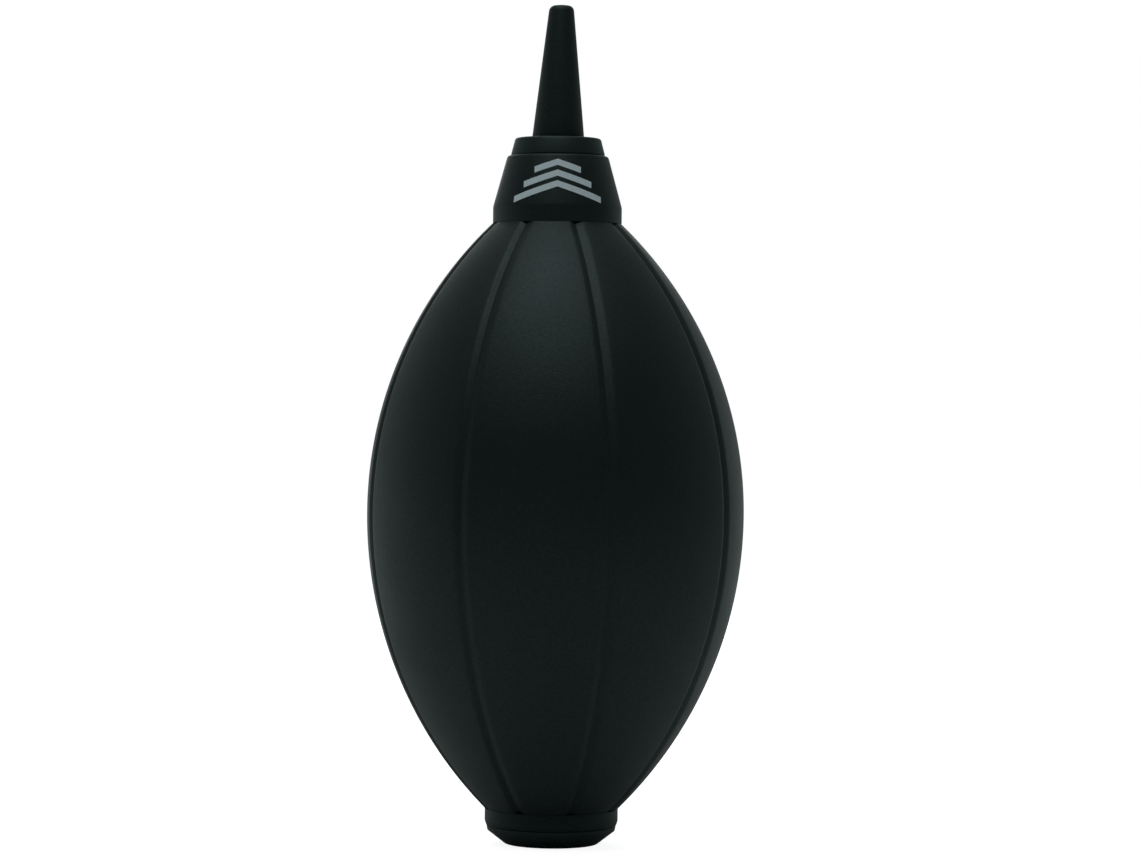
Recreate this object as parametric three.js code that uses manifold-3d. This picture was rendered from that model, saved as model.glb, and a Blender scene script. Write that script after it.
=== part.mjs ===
// Hand-squeezed dust blower bulb, as used at a watchmaker's bench, in millimetres.
// +Z is up along the bulb's axis, -Y is the front, and the origin is the centre of the base's flat foot.
//
// Air path, from below: inlet grille, foam filter, valve body's web, inlet flap, bulb, outlet seat,
// outlet flap, outlet cage, bore of the outlet plug, nozzle. The bulb is one rubber moulding. Two panels
// of its wall are cut out here as rigid pieces, front_wall and rear_wall, because a hand presses them in.

import * as THREE from "three";
import { mergeVertices } from "three/addons/utils/BufferGeometryUtils.js";
import Module from "manifold-3d";

const wasm = await Module();
wasm.setup();

// ---------- driving dimensions ----------

const HEIGHT = 150; // foot to nozzle tip

const WAIST = { r: 33.65, z: 59.1 }; // widest ring of the bulb
const NECK = { r: 11.52, z: 110.95, shoulderZ: 113.9, topR: 9.0, topZ: 122.8, edge: 0.35 };
const NECK_BORE = { r: 6.9, endZ: 108 };
const FOOT = { r: 11.93, z: 6.4, taperZ: 4.2, bottomR: 11.65, bottomZ: 3.5 };
const FOOT_BORE = { r: 9.0, endZ: 10 };
const WALL = 2.6; // rubber thickness between neck and foot
const PANEL = { count: 8, crown: 0.0135, grooveHalfWidth: 1.2, grooveDepth: 0.58, ledge: 0.15 };
const INNER_BLEND = 4; // height of the cone from a bore to the inner wall

const SQUEEZE = { lowZ: 32, highZ: 84, inset: 1.9, gap: 0.3 }; // the pressed window of a panel

const BARB_STEP = 0.1; // height of a barb's square edge
const COLLAR = { bottomZ: 123.1, bottomR: 8.45, topZ: 126.2, topR: 7.65, edge: 0.3 };
const DOME = { r: 4.84, z: 126.45 }; // the collar's flat top, where the nozzle stands
const PLUG = { stemR: 6.35, barbR: 6.75, endR: 5.95, endZ: 106.5, boreR: 1.5 };
const CHAMBER = { r: 4.8, topZ: 117.5 }; // holds the outlet valve
const PLUG_BARBS = { lowZ: 109, highZ: 114.5, run: 2.5 };
const SPIGOT = { r: 2.4, barbR: 2.65, barbBottomZ: 131.1, barbZ: 131.7, topR: 2.1, topZ: 133.5 };
const NOZZLE = { bottomZ: 126.55, bottomR: 4.64, edge: 0.15, tipR: 2.15, tipRound: 0.9, tipBoreR: 0.85 };
const NOZZLE_BORE = { socketR: 2.77, socketTopZ: 134.5, r: 1.5, bottomZ: 135.1 };

const OUTLET_SEAT = { bottomZ: 107, topZ: 110.6, outerR: 4.65, holeR: 2.1, lipR: 2.9, lip: 0.4 };
const OUTLET_FLAP = { r: 3.7, bottomZ: 111.05, thickness: 0.8 };
const OUTLET_CAGE = { bottomZ: 113.0, topZ: 117.4, outerR: 4.65, innerR: 3.5, hubR: 1.1, spoke: 0.9 };

const BASE = { flatR: 8.2, coneR: 11.42, coneZ: 2.46, flangeR: 11.6, flangeZ: 3.2 };
const BODY = { stemR: 8.45, barbR: 8.85, topZ: 15.5, edge: 0.4, flapBoreR: 6.2 };
const CAGE_BORE = { r: 7.2, ledgeZ: 8.7 };
const BODY_BARBS = { lowZ: 5.2, highZ: 7.6, endZ: 10.2 };
const WEB = { bottomZ: 5.0, topZ: 6.3, seatInnerR: 4.5, seatOuterR: 5.2, seatTopZ: 6.75 };
const AIR_HOLES = { count: 6, r: 1.0, ringR: 2.9 };
const WELL_R = 6.2; // bore under the web, for the filter and the grille
const INLET_FLAP = { r: 5.6, bottomZ: 6.8, thickness: 1.0 };
const VALVE_CAGE = { bottomZ: 9.05, topZ: 11.2, outerR: 7.05, innerR: 5.7, hubR: 1.6, spoke: 1.3 };
const FILTER = { r: 5.95, bottomZ: 1.8, topZ: 4.9 };
const GRILLE = { r: 6.05, bottomZ: 0.5, topZ: 1.7 };
const SLOTS = { count: 8, inR: 2.2, outR: 4.7, halfWidth: 0.55 };

const RING_SEGMENTS = 48; // six per panel
const SMALL_SEGMENTS = 32;
const HOLE_SEGMENTS = 12;
const ARC_SEGMENTS = 4;
const OUTER_STEPS = 9; // heights from the waist to an end, outside
const INNER_STEPS = 5; // the same, inside
const WINDOW_STEPS = 8;
const TIP_STEPS = 4;

const MERGE_DISTANCE = 1e-4;
const PAST = 1; // how far a cutting tool runs past each face

// ---------- materials ----------

const material = (color, roughness) => new THREE.MeshStandardMaterial({ color, roughness, metalness: 0 });
const bulbRubber = material(0x171c1c, 0.55);
const nozzleSilicone = material(0x151919, 0.6);
const collarPlastic = material(0x131717, 0.5);
const valvePlastic = material(0x101313, 0.45);
const flapSilicone = material(0xb9bdb8, 0.5);
const filterFoam = material(0x3a3d3f, 0.95);

// ---------- solids of revolution ----------

// A closed ring of [radius, height] points spun about Z. The outline may run either way round.
function revolve(outline, segments) {
  const turned = THREE.ShapeUtils.area(outline.map(([r, z]) => new THREE.Vector2(r, z))) > 0;
  const ring = turned ? outline : [...outline].reverse();
  const points = [...ring, ring[0]].map(([r, z]) => new THREE.Vector2(r, z));
  return new THREE.LatheGeometry(points, segments).rotateX(Math.PI / 2);
}

function disc(radius, bottomZ, topZ, segments = SMALL_SEGMENTS) {
  const middle = (bottomZ + topZ) / 2;
  return new THREE.CylinderGeometry(radius, radius, topZ - bottomZ, segments)
    .rotateX(Math.PI / 2)
    .translate(0, 0, middle);
}

// ---------- booleans ----------

function solidOf(geometry) {
  const bare = geometry.clone();
  bare.deleteAttribute("normal");
  bare.deleteAttribute("uv");
  const merged = mergeVertices(bare, MERGE_DISTANCE);
  return new wasm.Manifold(
    new wasm.Mesh({
      numProp: 3,
      vertProperties: merged.attributes.position.array,
      triVerts: new Uint32Array(merged.index.array),
    }),
  );
}

function geometryOf(solid) {
  const mesh = solid.getMesh();
  const geometry = new THREE.BufferGeometry();
  geometry.setAttribute("position", new THREE.BufferAttribute(mesh.vertProperties, 3));
  geometry.setIndex(new THREE.BufferAttribute(mesh.triVerts, 1));
  geometry.computeVertexNormals();
  return geometry;
}

function cut(geometry, tools) {
  const left = tools.reduce((solid, tool) => solid.subtract(solidOf(tool)), solidOf(geometry));
  return geometryOf(left);
}

// An outline stood up as a cutting tool that runs past both faces of a flat piece.
function slotTool(outline, bottomZ, topZ) {
  const depth = topZ - bottomZ + 2 * PAST;
  const options = { depth, bevelEnabled: false, curveSegments: ARC_SEGMENTS };
  return new THREE.ExtrudeGeometry(outline, options).translate(0, 0, bottomZ - PAST);
}

// ---------- bulb ----------

// Centre and radius of the meridian arc that is vertical at the waist and passes through end.
function meridian(end) {
  const dz = end.z - WAIST.z;
  const dr = WAIST.r - end.r;
  const radius = (dz * dz + dr * dr) / (2 * dr);
  return { centreR: WAIST.r - radius, radius };
}

const upper = meridian(NECK);
const lower = meridian(FOOT);

function arcRadiusAt(z, thickness = 0) {
  const arc = z > WAIST.z ? upper : lower;
  return arc.centreR + Math.sqrt((arc.radius - thickness) ** 2 - (z - WAIST.z) ** 2);
}

// Points along the meridian from fromZ to toZ, evenly spaced in height.
function meridianPoints(fromZ, toZ, steps, thickness) {
  const points = [];
  for (let i = 0; i <= steps; i++) {
    const z = WAIST.z + (fromZ - WAIST.z) * (1 - i / steps) + (toZ - WAIST.z) * (i / steps);
    points.push([arcRadiusAt(z, thickness), z]);
  }
  return points;
}

const PANEL_ANGLE = (2 * Math.PI) / PANEL.count;

// Turns the round body between neck and foot into crowned panels with a V groove between each pair.
function addPanels(geometry, pointsPerRing, isPanelPoint) {
  const position = geometry.attributes.position;
  const half = PANEL_ANGLE / 2;
  const grooveStation = 3; // six stations to a panel, and the groove is the third from its centre
  const lastBefore = (half * (grooveStation - 1)) / grooveStation;
  for (let i = 0; i < position.count; i++) {
    if (!isPanelPoint(i % pointsPerRing)) continue;
    const station = Math.floor(i / pointsPerRing) % (2 * grooveStation);
    const [x, y] = [position.getX(i), position.getY(i)];
    const r = Math.hypot(x, y);
    const angle = Math.atan2(x, -y);
    const centre = Math.round(angle / PANEL_ANGLE) * PANEL_ANGLE;
    const inGroove = station === grooveStation;
    const shoulder = half - PANEL.grooveHalfWidth / r;
    const local = inGroove ? angle - centre : (angle - centre) * (shoulder / lastBefore);
    const crowned = r * (1 + PANEL.crown * (local / half) ** 2) - (inGroove ? PANEL.grooveDepth : 0);
    position.setXY(i, crowned * Math.sin(centre + local), -crowned * Math.cos(centre + local));
  }
  return geometry;
}

function wholeBulb() {
  const neck = [
    [NECK_BORE.r, NECK.topZ],
    [NECK.topR - NECK.edge, NECK.topZ],
    [NECK.topR, NECK.topZ - NECK.edge],
    [NECK.r, NECK.shoulderZ],
    [NECK.r, NECK.z],
  ];
  const edge = { high: NECK.z - PANEL.ledge, low: FOOT.z + PANEL.ledge };
  const panels = [
    ...meridianPoints(edge.high, WAIST.z, OUTER_STEPS, 0).slice(0, -1),
    ...meridianPoints(WAIST.z, edge.low, OUTER_STEPS, 0),
  ].map(([r, z]) => [r - (z === edge.high || z === edge.low ? 2 * PANEL.ledge : 0), z]);
  const foot = [
    [FOOT.r, FOOT.z],
    [FOOT.r, FOOT.taperZ],
    [FOOT.bottomR, FOOT.bottomZ],
    [FOOT_BORE.r, FOOT.bottomZ],
    [FOOT_BORE.r, FOOT_BORE.endZ],
  ];
  const inside = [
    ...meridianPoints(FOOT_BORE.endZ + INNER_BLEND, WAIST.z, INNER_STEPS, WALL).slice(0, -1),
    ...meridianPoints(WAIST.z, NECK_BORE.endZ - INNER_BLEND, INNER_STEPS, WALL),
    [NECK_BORE.r, NECK_BORE.endZ],
  ];
  const outline = [...neck, ...panels, ...foot, ...inside];
  const ring = [...outline].reverse(); // upwards along the outside
  const points = [...ring, ring[0]].map(([r, z]) => new THREE.Vector2(r, z));
  const lathe = new THREE.LatheGeometry(points, RING_SEGMENTS).rotateX(Math.PI / 2);
  const firstPanel = ring.length - neck.length - panels.length;
  return addPanels(lathe, points.length, (j) => j >= firstPanel && j < firstPanel + panels.length);
}

// A prism along Y through one side of the bulb, with the outline of a panel's middle stretch.
function squeezePrism(inset, endGap, side) {
  const height = SQUEEZE.highZ - SQUEEZE.lowZ - 2 * endGap;
  const startY = -WAIST.r / 3; // well inside the wall
  const edge = [];
  for (let i = 0; i <= WINDOW_STEPS; i++) {
    const z = SQUEEZE.lowZ + endGap + (height * i) / WINDOW_STEPS;
    edge.push(new THREE.Vector2(arcRadiusAt(z) * Math.sin(PANEL_ANGLE / 2) - inset, z));
  }
  const mirrored = edge.map((p) => new THREE.Vector2(-p.x, p.y)).reverse();
  const depth = WAIST.r;
  return new THREE.ExtrudeGeometry(new THREE.Shape([...edge, ...mirrored]), { depth, bevelEnabled: false })
    .rotateX(Math.PI / 2)
    .translate(0, startY, 0)
    .rotateZ(side === "front" ? 0 : Math.PI);
}

function squeezedWall(side) {
  const prism = squeezePrism(SQUEEZE.inset, SQUEEZE.gap, side);
  return geometryOf(solidOf(wholeBulb()).intersect(solidOf(prism)));
}

function bulb() {
  const windows = ["front", "rear"].map((side) => squeezePrism(SQUEEZE.inset - SQUEEZE.gap, 0, side));
  return cut(wholeBulb(), windows);
}

// ---------- outlet end ----------

function outletPlug() {
  return revolve(
    [
      [CHAMBER.r, PLUG.endZ],
      [PLUG.endR, PLUG.endZ],
      [PLUG.barbR, PLUG_BARBS.lowZ],
      [PLUG.stemR, PLUG_BARBS.lowZ + BARB_STEP],
      [PLUG.stemR, PLUG_BARBS.highZ - PLUG_BARBS.run],
      [PLUG.barbR, PLUG_BARBS.highZ],
      [PLUG.stemR, PLUG_BARBS.highZ + BARB_STEP],
      [PLUG.stemR, COLLAR.bottomZ],
      [COLLAR.bottomR, COLLAR.bottomZ],
      [COLLAR.topR, COLLAR.topZ - COLLAR.edge],
      [COLLAR.topR - COLLAR.edge, COLLAR.topZ],
      [DOME.r, DOME.z],
      [SPIGOT.r, DOME.z],
      [SPIGOT.r, SPIGOT.barbBottomZ],
      [SPIGOT.barbR, SPIGOT.barbZ],
      [SPIGOT.topR, SPIGOT.topZ],
      [PLUG.boreR, SPIGOT.topZ],
      [PLUG.boreR, CHAMBER.topZ],
      [CHAMBER.r, CHAMBER.topZ],
    ],
    SMALL_SEGMENTS,
  );
}

// Points round the nozzle's tip, from its flank to its top.
function tipPoints() {
  const centreR = NOZZLE.tipR - NOZZLE.tipRound;
  const centreZ = HEIGHT - NOZZLE.tipRound;
  const points = [];
  for (let i = 0; i <= TIP_STEPS; i++) {
    const turn = (i / TIP_STEPS) * (Math.PI / 2);
    points.push([centreR + NOZZLE.tipRound * Math.cos(turn), centreZ + NOZZLE.tipRound * Math.sin(turn)]);
  }
  return points;
}

function nozzle() {
  return revolve(
    [
      [NOZZLE_BORE.socketR, NOZZLE.bottomZ],
      [NOZZLE.bottomR - NOZZLE.edge, NOZZLE.bottomZ],
      [NOZZLE.bottomR, NOZZLE.bottomZ + NOZZLE.edge],
      ...tipPoints(),
      [NOZZLE.tipBoreR, HEIGHT],
      [NOZZLE_BORE.r, NOZZLE_BORE.bottomZ],
      [NOZZLE_BORE.socketR, NOZZLE_BORE.socketTopZ],
    ],
    SMALL_SEGMENTS,
  );
}

function outletSeat() {
  const { bottomZ, topZ, outerR, holeR, lipR, lip } = OUTLET_SEAT;
  return revolve(
    [
      [holeR, bottomZ],
      [outerR, bottomZ],
      [outerR, topZ],
      [lipR, topZ],
      [lipR, topZ + lip],
      [holeR, topZ + lip],
    ],
    SMALL_SEGMENTS,
  );
}

// A valve flap: a plain disc.
function flap({ r, bottomZ, thickness }) {
  return disc(r, bottomZ, bottomZ + thickness);
}

// A ring with a hub on four spokes: it stops a flap and lets the air round it.
function spokedCage({ bottomZ, topZ, outerR, innerR, hubR, spoke }) {
  const spokes = 4;
  const windows = [];
  for (let i = 0; i < spokes; i++) {
    const outerTurn = Math.PI / spokes - Math.asin(spoke / 2 / innerR);
    const innerTurn = Math.PI / spokes - Math.asin(spoke / 2 / hubR);
    const outline = new THREE.Shape();
    outline.absarc(0, 0, innerR, -outerTurn, outerTurn, false);
    outline.absarc(0, 0, hubR, innerTurn, -innerTurn, true);
    windows.push(slotTool(outline, bottomZ, topZ).rotateZ(((i + 0.5) * 2 * Math.PI) / spokes));
  }
  return cut(disc(outerR, bottomZ, topZ), windows);
}

// ---------- inlet end ----------

function drill(radius, distance, turn, fromZ, toZ) {
  const tool = disc(radius, fromZ, toZ, HOLE_SEGMENTS);
  return tool.translate(distance * Math.sin(turn), -distance * Math.cos(turn), 0);
}

function valveBody() {
  const turned = revolve(
    [
      [WELL_R, 0],
      [BASE.flatR, 0],
      [BASE.coneR, BASE.coneZ],
      [BASE.flangeR, BASE.flangeZ],
      [BODY.stemR, BASE.flangeZ],
      [BODY.stemR, BODY_BARBS.lowZ],
      [BODY.barbR, BODY_BARBS.lowZ + BARB_STEP],
      [BODY.stemR, BODY_BARBS.highZ],
      [BODY.barbR, BODY_BARBS.highZ + BARB_STEP],
      [BODY.stemR, BODY_BARBS.endZ],
      [BODY.stemR, BODY.topZ - BODY.edge],
      [BODY.stemR - BODY.edge, BODY.topZ],
      [CAGE_BORE.r, BODY.topZ],
      [CAGE_BORE.r, CAGE_BORE.ledgeZ],
      [BODY.flapBoreR, CAGE_BORE.ledgeZ],
      [BODY.flapBoreR, WEB.topZ],
      [WEB.seatOuterR, WEB.topZ],
      [WEB.seatOuterR, WEB.seatTopZ],
      [WEB.seatInnerR, WEB.seatTopZ],
      [WEB.seatInnerR, WEB.topZ],
      [0, WEB.topZ],
      [0, WEB.bottomZ],
      [WELL_R, WEB.bottomZ],
    ],
    SMALL_SEGMENTS,
  );
  const holes = [];
  for (let i = 0; i < AIR_HOLES.count; i++) {
    const turn = (i * 2 * Math.PI) / AIR_HOLES.count;
    holes.push(drill(AIR_HOLES.r, AIR_HOLES.ringR, turn, WEB.bottomZ - PAST, WEB.seatTopZ + PAST));
  }
  return cut(turned, holes);
}

function inletGrille() {
  const quarter = Math.PI / 2;
  const tools = [];
  for (let i = 0; i < SLOTS.count; i++) {
    const outline = new THREE.Shape();
    outline.absarc(SLOTS.outR, 0, SLOTS.halfWidth, -quarter, quarter, false);
    outline.absarc(SLOTS.inR, 0, SLOTS.halfWidth, quarter, 3 * quarter, false);
    const turn = (i * 2 * Math.PI) / SLOTS.count;
    tools.push(slotTool(outline, GRILLE.bottomZ, GRILLE.topZ).rotateZ(turn));
  }
  return cut(disc(GRILLE.r, GRILLE.bottomZ, GRILLE.topZ), tools);
}

// ---------- assembly ----------

const blower = new THREE.Group();

function add(name, geometry, look) {
  const mesh = new THREE.Mesh(geometry, look);
  mesh.name = name;
  blower.add(mesh);
}

add("bulb", bulb(), bulbRubber);
add("front_wall", squeezedWall("front"), bulbRubber);
add("rear_wall", squeezedWall("rear"), bulbRubber);

add("nozzle", nozzle(), nozzleSilicone);
add("outlet_plug", outletPlug(), collarPlastic);
add("outlet_cage", spokedCage(OUTLET_CAGE), valvePlastic);
add("outlet_flap", flap(OUTLET_FLAP), flapSilicone);
add("outlet_seat", outletSeat(), valvePlastic);

add("valve_body", valveBody(), valvePlastic);
add("valve_cage", spokedCage(VALVE_CAGE), valvePlastic);
add("inlet_flap", flap(INLET_FLAP), flapSilicone);
add("filter_disc", disc(FILTER.r, FILTER.bottomZ, FILTER.topZ), filterFoam);
add("inlet_grille", inletGrille(), valvePlastic);

export default blower;
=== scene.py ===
"""Looks of a hand-squeezed dust blower bulb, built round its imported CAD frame.

The file is laid out as a Blender add-on and is run as a script. Sizes are in metres, in the frame's own
coordinates: +Z up the bulb's axis, -Y the front, and the origin in the middle of the flat foot.
"""

import math
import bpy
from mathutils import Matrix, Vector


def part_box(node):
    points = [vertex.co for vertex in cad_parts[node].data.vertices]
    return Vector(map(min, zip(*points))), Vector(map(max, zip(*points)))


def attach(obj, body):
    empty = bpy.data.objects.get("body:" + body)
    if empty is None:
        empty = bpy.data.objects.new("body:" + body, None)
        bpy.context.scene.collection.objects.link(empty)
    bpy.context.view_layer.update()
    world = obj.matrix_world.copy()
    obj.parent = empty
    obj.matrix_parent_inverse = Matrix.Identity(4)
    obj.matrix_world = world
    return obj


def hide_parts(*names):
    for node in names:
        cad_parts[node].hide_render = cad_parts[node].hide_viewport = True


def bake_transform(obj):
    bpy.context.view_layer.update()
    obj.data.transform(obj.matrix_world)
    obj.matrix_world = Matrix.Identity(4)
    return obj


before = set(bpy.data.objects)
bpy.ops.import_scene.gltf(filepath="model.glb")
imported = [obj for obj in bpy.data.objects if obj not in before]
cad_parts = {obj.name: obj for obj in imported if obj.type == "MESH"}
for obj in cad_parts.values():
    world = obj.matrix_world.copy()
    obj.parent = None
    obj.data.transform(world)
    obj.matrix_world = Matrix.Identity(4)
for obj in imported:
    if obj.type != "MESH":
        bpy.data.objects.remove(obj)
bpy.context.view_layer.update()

from types import SimpleNamespace

import bmesh
import bpy
import numpy as np
from bpy.props import FloatProperty, IntProperty, PointerProperty, StringProperty
from mathutils import Matrix, Vector

bl_info = {
    "name": "Dust Blower Bulb",
    "version": (1, 0, 0),
    "blender": (4, 5, 0),
    "location": "View3D > Sidebar > Blower",
    "description": "Builds a rubber dust blower with its nozzle, valves and printed mark",
    "category": "Object",
}

MM = 0.001
TAU = 2 * math.pi

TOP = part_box("nozzle")[1][2]  # height of the nozzle's tip
FULL_TURN = np.linspace(0, TAU, 128, endpoint=False)
CREASE = math.radians(32)  # a piece is shaded smooth where it turns by less
CORNER_STEPS = 5  # edges round a rounded corner
OUTSIDE_STEPS, INSIDE_STEPS = 150, 60  # heights up the bulb's wall
STEEPEST = 0.8  # greatest lean of the wall that a groove's depth allows for
GROOVE_REACH = 1.7  # share of a flank's width that the close stations beside a groove reach out to
FLANK_STATIONS = np.array([0, 0.07, 0.16, 0.3, 0.46, 0.62, 0.74, 0.84, 0.93, 1.02, 1.12, 1.25, 1.45, GROOVE_REACH])
LINE_STATIONS = np.array([0, 0.08, 0.16, 0.24, 0.3, 0.38, 0.5, 0.8]) * MM  # distances from a mould line
PLAIN_STATIONS = 22  # across the rest of a panel
SEAM_GAP = 1e-3  # least turn between a station and the seam of the two halves
NOISE_LOW, NOISE_HIGH = 0.3, 0.7  # where most of a noise texture's values lie

# What lies inside the blower, in millimetres. Each piece's radii stand first, then its heights.
PLUG = SimpleNamespace(stem=6.35, barb=6.75, lead_in=5.95, end=106.5, low_barb=109, high_barb=114.5, barb_run=2.5)
CHAMBER = SimpleNamespace(bore=4.8, top=117.5)
SPIGOT = SimpleNamespace(stem=2.4, barb=2.65, lead_in=2.1, barb_bottom=131.1, barb_top=131.7, top=133.5)
SOCKET = SimpleNamespace(bore=2.77, top=134.5, funnel_top=135.3)
AIR_BORE = 1.5  # radius of the way through spigot and nozzle
FOOT_GAP = 0.03  # between the nozzle's foot and the collar's dome
DOME_FLAT = 0.2  # how far the dome's flat reaches past the nozzle
TIP_LAND = 3  # length of the narrow hole in the tip
SEAT = SimpleNamespace(hole=2.1, lip=2.9, rim=4.65, bottom=107, top=110.6, lip_top=111.0)
OUTLET_FLAP = SimpleNamespace(radius=3.7, bottom=111.05, thickness=0.8)
OUTLET_CAGE = SimpleNamespace(outer=4.65, inner=3.5, hub=1.1, spoke=0.9, bottom=113.0, top=117.4)
BARREL = SimpleNamespace(stem=8.45, barb=8.85, low_barb=5.2, high_barb=7.6, barb_end=10.2, top=15.5)
BARB_STEP = 0.1  # height of the step under a barb
CAGE_BORE = SimpleNamespace(bore=7.2, ledge=8.7)
WELL = 6.2  # radius of the wells over and under the web
WEB = SimpleNamespace(seat_inner=4.5, seat_outer=5.2, bottom=5.0, top=6.3, seat_top=6.75)
AIR_HOLES = SimpleNamespace(radius=1.0, ring=2.9, count=6)
GRILLE = SimpleNamespace(radius=6.05, bottom=0.5, top=1.7)
SLOT = SimpleNamespace(inner=2.2, outer=4.7, half_width=0.55)
FILTER = SimpleNamespace(radius=5.95, bottom=1.8, top=4.9)
INLET_FLAP = SimpleNamespace(radius=5.6, bottom=6.8, thickness=1.0)
VALVE_CAGE = SimpleNamespace(outer=7.05, inner=5.7, hub=1.6, spoke=1.3, bottom=9.05, top=11.2)
SPOKES = 4
PAST = 1  # how far a cutter runs past each face
LEAN_POWER = 1.2  # the nozzle bends a little more towards its tip


# ---------- properties ----------


def length(name, description, millimetres):
    """A length property whose default is given in millimetres."""
    return FloatProperty(
        name=name, description=description, default=millimetres * MM, unit="LENGTH", subtype="DISTANCE", precision=5
    )


def colour(name, description, default):
    """A colour property, kept as the sRGB hex value that a colour card would give."""
    return StringProperty(name=name, description=description, default=default)


class BulbSettings(bpy.types.PropertyGroup):
    """The rubber bulb, moulded in one piece with its neck and its foot."""

    waist_radius: length("Waist radius", "Radius at the middle of a panel, at the widest ring", 33.65)
    waist_height: length("Waist height", "Height of the widest ring", 59.1)
    neck_radius: length("Neck radius", "Radius of the straight band under the neck's taper", 11.52)
    neck_bottom: length("Neck bottom", "Height where the neck's edge stands over the panels", 110.95)
    neck_shoulder: length("Neck shoulder", "Height where the straight band turns into the taper", 113.9)
    neck_top_radius: length("Neck top radius", "Radius of the taper's upper edge", 9.0)
    neck_top: length("Neck top", "Height of the neck's rim, just under the collar", 123.06)
    neck_bore: length("Neck bore", "Radius of the bore that holds the outlet plug", 6.9)
    foot_radius: length("Foot radius", "Radius of the foot band", 11.93)
    foot_top: length("Foot top", "Height of the foot band's upper edge", 6.4)
    foot_taper: length("Foot taper", "Height where the foot band starts to draw in", 4.2)
    foot_bottom_radius: length("Foot bottom radius", "Radius of the foot band's lower rim", 11.65)
    foot_bottom: length("Foot bottom", "Height of the foot band's lower rim, just over the base cap", 3.38)
    foot_bore: length("Foot bore", "Radius of the bore that holds the valve body", 9.0)
    wall: length("Wall", "Rubber thickness between neck and foot", 2.6)
    panels: IntProperty(name="Panels", description="Number of panels round the bulb", default=8, min=3)
    crown: FloatProperty(
        name="Crown", description="Share by which a panel's edge lies further out than its middle", default=0.0135
    )
    groove_left: length("Groove left", "Width of a groove's left flank, the steeper one", 1.0)
    groove_right: length("Groove right", "Width of a groove's right flank", 1.43)
    groove_depth: length("Groove depth", "Depth of the groove between two panels", 0.58)
    slump: length("Slump", "How far the soft bulb stands to the right of the axis, at its middle", 0.25)
    mould_line_turn: FloatProperty(
        name="Mould line", description="Where the mould's parting line runs, round from the front",
        default=math.radians(6.6), subtype="ANGLE",
    )
    mould_line_width: length("Mould line width", "Half the width of the parting line", 0.24)
    mould_line_height: length("Mould line height", "Height of the parting line over the panel", 0.02)


class FittingSettings(bpy.types.PropertyGroup):
    """The nozzle, the outlet plug with its collar, and the valve body with its base cap."""

    collar_radius: length("Collar radius", "Radius of the collar's lower edge", 8.45)
    collar_top_radius: length("Collar top radius", "Radius of the collar's upper edge", 7.65)
    collar_bottom: length("Collar bottom", "Height of the collar's underside", 123.1)
    collar_top: length("Collar top", "Height of the collar's upper edge", 126.2)
    collar_dome: length("Collar dome", "Height of the collar's middle, where the nozzle stands", 126.45)
    nozzle_radius: length("Nozzle radius", "Radius of the nozzle's foot", 4.64)
    tip_radius: length("Tip radius", "Radius that the nozzle's taper reaches at its tip", 2.15)
    tip_bore: length("Tip bore", "Radius of the hole in the nozzle's tip", 0.85)
    nozzle_lean: length("Nozzle lean", "How far the soft tip stands to the right of the axis", 0.39)
    base_flat_radius: length("Base flat radius", "Radius of the flat that the blower stands on", 8.25)
    base_cone_radius: length("Base cone radius", "Radius where the base cap's cone turns into its rim", 11.42)
    base_cone_height: length("Base cone height", "Height where the cone turns into the rim", 2.46)
    base_radius: length("Base radius", "Radius of the base cap's upper edge", 11.6)
    base_height: length("Base height", "Height of the base cap's upper edge", 3.3)
    slots: IntProperty(name="Inlet slots", description="Number of slots in the inlet grille", default=8, min=3)


class MarkSettings(bpy.types.PropertyGroup):
    """The printed airflow mark on the neck."""

    count: IntProperty(name="Chevrons", description="Number of chevrons, one over the other", default=3, min=1)
    width: length("Width", "Width of the lowest chevron along the neck's curve", 16.8)
    stroke: length("Stroke", "Height of a chevron's arm", 1.15)
    rise: length("Rise", "How far the lowest chevron's point stands over its ends", 2.9)
    pitch: length("Pitch", "Distance from one chevron to the next, up the slope", 2.0)
    bottom: length("Bottom", "Height of the lowest chevron's ends", 114.3)
    taper: FloatProperty(name="Taper", description="Share of width that each chevron loses", default=0.25)
    thickness: length("Ink thickness", "How far the ink stands over the rubber", 0.05)
    turn: FloatProperty(
        name="Turn", description="Where the mark stands, round from the front",
        default=math.radians(6.2), subtype="ANGLE",
    )


class FinishSettings(bpy.types.PropertyGroup):
    """Colours as sRGB hex values."""

    rubber: colour("Rubber", "Bulb and neck", "#161C1C")
    silicone: colour("Nozzle silicone", "Nozzle", "#161B1B")
    plastic: colour("Plug plastic", "Collar and outlet plug", "#1E2525")
    cap: colour("Cap plastic", "Base cap, grille and valve parts", "#1C2222")
    flap: colour("Flap silicone", "The two valve flaps", "#C2C5BD")
    foam: colour("Foam", "Intake filter", "#3A3D40")
    ink: colour("Ink", "Printed mark", "#DCEEF4")


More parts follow.
